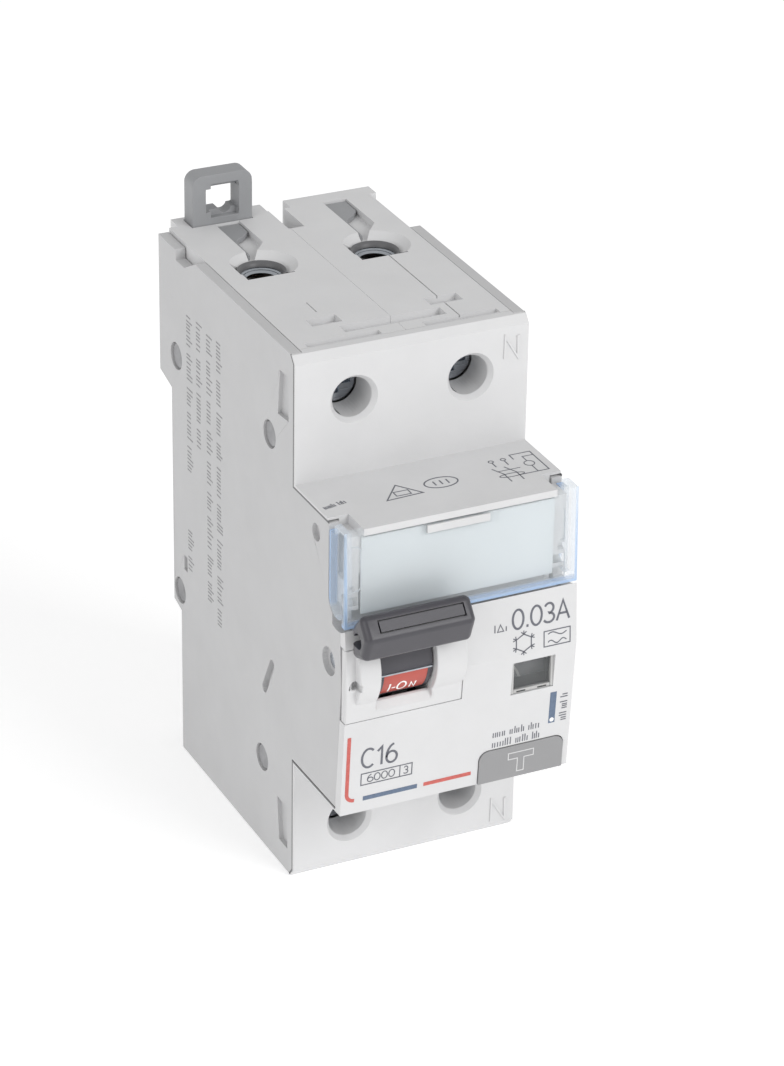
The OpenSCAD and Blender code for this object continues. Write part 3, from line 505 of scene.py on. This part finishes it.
# ratings and signs on the front
sheet = Sheet()
sheet.write("0.03A", 7.7, 1.95, 2.95, 0.33, 1.18)
sheet.line([(5.0, 2.05), (5.0, 3.2)], 0.16)
sheet.line([(5.4, 2.1), (5.85, 3.15), (6.35, 2.1)], 0.14, True)
sheet.line([(6.75, 2.05), (6.75, 2.75)], 0.16)
hexagon = arc(9.5, -0.4, 1.35, 1.35, 90, 450, 6)[:-1]
sheet.line(hexagon, 0.17, True)
for i, (u, v) in enumerate(hexagon):
    out = Vector((u - 9.5, v + 0.4)).normalized()
    for turn in (-48, 0, 48):
        tip = Vector((u, v)) + Matrix.Rotation(math.radians(turn), 2) @ out * 0.55
        sheet.line([(u, v), tip], 0.15)
sheet.frame(12.68, 16.78, -1.75, 0.62, 0.16)
for level, step in ((0.05, 18), (-1.2, 27)):  # two waves; step is the angle between points in degrees
    sheet.line([(13.3 + 2.9 * i / 20, level + 0.28 * math.sin(math.radians(step * i + 10))) for i in range(21)], 0.16)
sheet.write("C16", -14.95, -15.35, 3.1, 0.34, 1.12)
sheet.frame(-14.82, -6.98, -18.2, -16.3, 0.16)
sheet.line([(-8.85, -18.2), (-8.85, -16.3)], 0.14)
sheet.write("6000", -13.9, -17.85, 1.2, 0.15, 1.55)
sheet.write("3", -8.25, -17.85, 1.2, 0.15, 1.2)
for foot in (-15.3, -17.0):
    sheet.ticks((5.6, foot), (1, 0), 7.4, 1.2, 0.15)
sheet.ticks((17.1, -14.8), (0, 1), 4.4, 1.15, 0.17)
lay(sheet, "front_prints", front_at, "grey_ink", cuts=(BEND_Z,))

sheet = Sheet()
sheet.box(14.3, 15.3, -14.95, -9.75)
lay(sheet, "front_bar", front_at, "blue_ink")
sheet = Sheet()
sheet.disc(14.8, -14.4, 0.34)
lay(sheet, "front_bar_dot", front_at, "white_ink", proud=0.05)
# the red rule's two parts, and a plain bar beside the lower one
sheet = Sheet()
sheet.line([(-16.95, -9.7), *arc(-15.75, -19.3, 1.2, 1.2, 180, 270, 6)], 0.55)
sheet.line([(-5.0, -20.5), (2.42, -20.5)], 0.6)
lay(sheet, "front_rule", front_at, "red_ink")
sheet = Sheet()
sheet.box(-14.4, -6.0, -20.85, -20.15)
lay(sheet, "front_dash", front_at, "blue_ink")

# generic signs on the nose's top
sheet = Sheet()
sheet.ticks((-16.9, -52.4), (0.98, 0.2), 3.4, 1.0, 0.16)
sheet.line([(-8.2, -53.4), (-5.2, -49.6), (-2.6, -53.1)], 0.2, True)
sheet.frame(-6.4, -4.2, -52.7, -51.5, 0.16)
sheet.line(arc(1.0, -51.3, 2.5, 1.5, 0, 360, 26)[:-1], 0.2, True)
for u in (0.0, 1.0, 2.0):
    sheet.line([(u, -51.9), (u, -50.7)], 0.2)
# wiring sketch: two poles, a contact in each and a ring round both
for u in (10.1, 12.0):
    sheet.line([(u, -55.0), (u, -52.6), (u - 0.9, -50.6)], 0.16)
    sheet.line([(u, -50.2), (u, -48.9)], 0.16)
    sheet.line(arc(u, -48.5, 0.36, 0.36, 0, 360, 12)[:-1], 0.14, True)
sheet.line([(9.6, -51.6), (13.1, -51.6)], 0.12)
sheet.line([(12.0, -53.6), (16.6, -53.6), (16.6, -47.6), (13.4, -47.6), (13.4, -49.0)], 0.16)
sheet.line(arc(11.05, -53.2, 1.9, 0.5, 0, 360, 20)[:-1], 0.14, True)
sheet.line(arc(14.9, -50.9, 0.75, 0.75, 0, 360, 14)[:-1], 0.14, True)
sheet.line([(14.9, -53.6), (14.9, -51.65)], 0.14)
sheet.line([(14.9, -50.15), (14.9, -48.7), (16.6, -48.7)], 0.14)
lay(sheet, "nose_signs", nose_top_at, "grey_ink")

# marking along the left side, read from the top down
sheet = Sheet()
COLUMNS = [(5.8, 31.6, 25.0), (9.4, 32.0, 20.0), (13.1, 31.6, 44.0), (16.7, 32.0, 46.0), (5.8, -3.2, 6.8)]
for column, start, length in COLUMNS:
    sheet.ticks((column, start), (0, -1), length, 2.1, 0.24, (5, 8))
lay(sheet, "side_marking", left_side_at, "mark", proud=0.012)

# pole letters raised on the shoulders, and the signs on the lever's bands
for name, foot, height in (("upper", 35.0, 3.3), ("lower", -40.3, 3.6)):
    sheet = Sheet()
    sheet.write("N", 13.9, foot, height, 0.42, 1.22)
    lay(sheet, name + "_pole_letter", shoulder_at, "front", proud=0.16)
levels = [0.3 * i for i in range(-7, 8)]
sheet = Sheet()
sheet.write("I-O", -11.2, -1.0, 1.9, 0.24, 1.1)
sheet.write("N", -7.8, -1.0, 1.4, 0.22, 1.0)
lay(sheet, "on_sign", band_at(-31), "white_ink", "lever", proud=0.04, cuts=levels)
sheet = Sheet()
sheet.write("O", -9.6, -1.2, 2.3, 0.28, 1.0)
lay(sheet, "off_sign", band_at(69), "white_ink", "lever", proud=0.04, cuts=levels)

# outline of the letter on the test button, and grey lines painted on the flap as shade of the lines moulded into it
LETTER_T = [(-2.0, 1.62), (2.0, 1.62), (2.0, 0.58), (0.52, 0.58), (0.52, -1.62), (-0.52, -1.62), (-0.52, 0.58),
            (-2.0, 0.58)]
sheet = Sheet()
sheet.line([(10.2 + u, -20.2 + v) for u, v in LETTER_T], 0.14, True)
lay(sheet, "button_letter", button_at, "front", body_of["test_button"], proud=0.01, sunk=0.15)
sheet = Sheet()
sheet.line([(-16.75, 19.6), (-15.75, 19.5), (-15.35, 19.0), (-15.35, 13.4), (-15.75, 12.9), (-16.75, 12.9)], 0.16)
sheet.line([(15.5, 19.0), (15.75, 18.6), (15.75, 14.2), (15.2, 14.2)], 0.16)
sheet.line([(15.8, 12.1), (15.8, 8.4)], 0.14)
lay(sheet, "flap_line_shade", flap_at, "faint", body_of["label_flap"], proud=0.02, sunk=0.1)

# ---------- window, wire collars and other small parts ----------


def boxes(name, spans, look, body="casing", bevel=0.0):
    """One piece made of boxes, each given as (x0, x1, y0, y1, z0, z1)."""
    points, faces = [], []
    for x0, x1, y0, y1, z0, z1 in spans:
        base = len(points)
        points += [(x, y, z) for x in (x0, x1) for y in (y0, y1) for z in (z0, z1)]
        faces += [[base + i for i in face] for face in
                  ((0, 1, 3, 2), (4, 6, 7, 5), (0, 4, 5, 1), (2, 3, 7, 6), (0, 2, 6, 4), (1, 5, 7, 3))]
    obj = put(mesh_object(name, points, faces, M[look]), body)
    if bevel:
        soft = obj.modifiers.new("rounded_edges", "BEVEL")
        soft.width, soft.segments, soft.harden_normals = bevel * MM, 2, True
    return obj


def turned(name, profile, centre, look):
    """A ring turned about an upright axis from a closed profile of (radius, height) points."""
    points, count, steps = [], len(profile), 48
    for i in range(steps):
        a = 2 * math.pi * i / steps
        points += [(centre[0] + r * math.cos(a), centre[1] + r * math.sin(a), z) for r, z in profile]
    faces = [[i * count + j, i * count + (j + 1) % count, (i + 1) % steps * count + (j + 1) % count,
              (i + 1) % steps * count + j] for i in range(steps) for j in range(count)]
    put(mesh_object(name, points, faces, M[look], True), "casing")


# rim moulded round the indicator window; at its foot two black patches are painted shade, standing in for two slits
RIM = [(7.95, 8.4, -60.7, -60.2, -8.65, -3.45), (14.2, 14.65, -60.7, -60.2, -8.65, -3.45),
       (8.4, 14.2, -60.7, -60.2, -3.75, -3.45), (8.4, 14.2, -60.6, -60.2, -8.65, -8.1)]
SLIT_SHADOWS = [(x, x + 1.4, -60.62, -60.5, -8.5, -8.3) for x in (8.9, 12.2)]
boxes("window_rim", RIM, "rim", bevel=0.12)
boxes("window_slit_shadows", SLIT_SHADOWS, "black")
# dark wall behind the trip flag's path, whose dark colour is painted shade of the case's inside, and a pale vane on
# it
boxes("window_backing", [(7.4, 15.1, -57.05, -56.8, -8.2, -2.6)], "shade")
vane = [(9.0, -57.08, -5.6), (9.9, -57.14, -6.2), (10.5, -57.17, -7.2), (10.8, -57.12, -8.1)]
points = [(x + k * 0.5, y + d, z - k * 0.3) for x, y, z in vane for k, d in ((0, 0), (1, 0), (1, 0.2), (0, 0.2))]
faces = [[4 * i + j, 4 * i + (j + 1) % 4, 4 * i + 4 + (j + 1) % 4, 4 * i + 4 + j] for i in range(3) for j in range(4)]
faces += [[0, 1, 2, 3], [12, 13, 14, 15]]
put(mesh_object("window_vane", points, faces, M["pale"], True), "casing")

# painted shadow: dark strips laid over the gap between the front's edge lips and the side shells
UPPER_GAP = [(-42.5, 41.0), (-43.5, 39.8), (-43.5, 21.3), (-55.2, 21.3)]
LOWER_GAP = [(-58.0, -22.3), (-43.5, -22.5), (-43.5, -40.8), (-42.5, -42.0)]
for side, surface, sign in (("left", left_side_at, -1), ("right", right_side_at, 1)):
    sheet = Sheet()
    for path in (UPPER_GAP, LOWER_GAP):
        sheet.line([(sign * y, z) for y, z in path], 0.3)
    lay(sheet, side + "_gap_painted_shadow", surface, "painted_shade", proud=0.008, sunk=0.06)

# thin webs that close the case behind the tool notches
for side, x0 in (("left", -16.06), ("right", 15.96)):
    boxes(side + "_notch_web", [(x0, x0 + 0.1, -10.0, 4.0, 37.0, 39.6)], "housing")

# grip tab at the top of the flap and the ridge above the lever's red band
boxes("flap_tab", [(-5.3, 4.3, -60.12, -59.72, 19.3, 20.5)], "front", body_of["label_flap"], bevel=0.12)
ridge = [(-6.0, 6.0), (-2.6, 6.0), (-3.0, 6.33), (-5.0, 6.33)]
points = [(x, LEVER_Y - r * math.cos(math.radians(a)), r * math.sin(math.radians(a)))
          for x in (-12.7, -4.95) for a, r in ridge]
faces = [[0, 1, 2, 3], [7, 6, 5, 4], [0, 4, 5, 1], [1, 5, 6, 2], [2, 6, 7, 3], [3, 7, 4, 0]]
put(mesh_object("band_ridge", points, faces, M["steel"]), body_of["toggle_lever"])

# bright metal collars in the throats of the wire funnels, each under a dark ring of painted shade on the throat's
# wall; the foot's mirror the top's
COLLAR = ((3.1, 38.95), (2.3, 38.95), (2.7, 39.2), (2.72, 39.3), (3.1, 39.55))
THROAT_SHADE = ((3.56, 39.6), (2.95, 39.6), (3.05, 40.0), (3.3, 40.3), (3.56, 40.4))
for name, x in (("phase", -9.4), ("neutral", 8.4)):
    for end, turn in (("in", lambda z: z), ("out", lambda z: -1 - z)):
        for part, profile, look, slot in (("_collar", COLLAR, "steel", "zinc_steel"),
                                          ("_guide", THROAT_SHADE, "painted_shade", "black_plastic")):
            turned(name + "_" + end + part, [(r, turn(z)) for r, z in profile], (x, -13.7), look)

# ---------- camera, floor and light ----------

# the camera stands where the photograph's did
camera = bpy.data.objects.new("camera", bpy.data.cameras.new("camera"))
camera.data.sensor_fit = "HORIZONTAL"
camera.data.sensor_width = 36
camera.data.lens = 180.2
camera.data.clip_start, camera.data.clip_end = 0.02, 20
right = Vector((0.902544, -0.430346, 0.014717))
up = Vector((0.18643, 0.421343, 0.887533))
back = Vector((-0.388147, -0.798294, 0.46051))
place = Matrix((right, up, back)).transposed().to_4x4()
place.translation = Vector((-0.216299, -0.483043, 0.264533))
camera.matrix_world = place
bpy.context.scene.collection.objects.link(camera)
bpy.context.scene.camera = camera


def floor_sheet(half, z):
    mesh = bpy.data.meshes.new("floor")
    mesh.from_pydata([(-half, -half, z), (half, -half, z), (half, half, z), (-half, half, z)], [], [(0, 1, 2, 3)])
    obj = bpy.data.objects.new("floor", mesh)
    n = Nodes("floor_paper")
    paper = n.tint(n.spread(n.noise(3, 2), 0, 1), (0.93, 0.93, 0.93), (0.95, 0.95, 0.95))
    n.link(paper, n.shader.inputs["Base Color"])
    n.link(paper, n.shader.inputs["Emission Color"])
    n.shader.inputs["Emission Strength"].default_value = 0.32
    n.shader.inputs["Roughness"].default_value = 0.9
    mesh.materials.append(n.mat)
    bpy.context.scene.collection.objects.link(obj)


floor_sheet(3, cad_box[0].z - 0.00005)


def area_light(name, place, target, size, power, colour=(1, 1, 1)):
    lamp = bpy.data.lights.new(name, "AREA")
    lamp.shape, lamp.size, lamp.size_y = "RECTANGLE", *size
    lamp.energy, lamp.color = power, colour
    obj = bpy.data.objects.new(name, lamp)
    obj.location = place
    obj.rotation_euler = (Vector(target) - Vector(place)).to_track_quat("-Z", "Y").to_euler()
    bpy.context.scene.collection.objects.link(obj)


world = bpy.data.worlds.new("studio")
world.use_nodes = True
world.node_tree.nodes["Background"].inputs["Color"].default_value = (1, 1, 1, 1)
world.node_tree.nodes["Background"].inputs["Strength"].default_value = 0.62
bpy.context.scene.world = world
area_light("key", (0.5, -1.1, 0.7), (0, -0.03, 0), (0.7, 0.7), 7.2)
area_light("left_fill", (-1.1, -0.5, 0.6), (0, -0.03, 0), (0.8, 0.8), 3.2)
bpy.context.scene.view_settings.view_transform = "Standard"
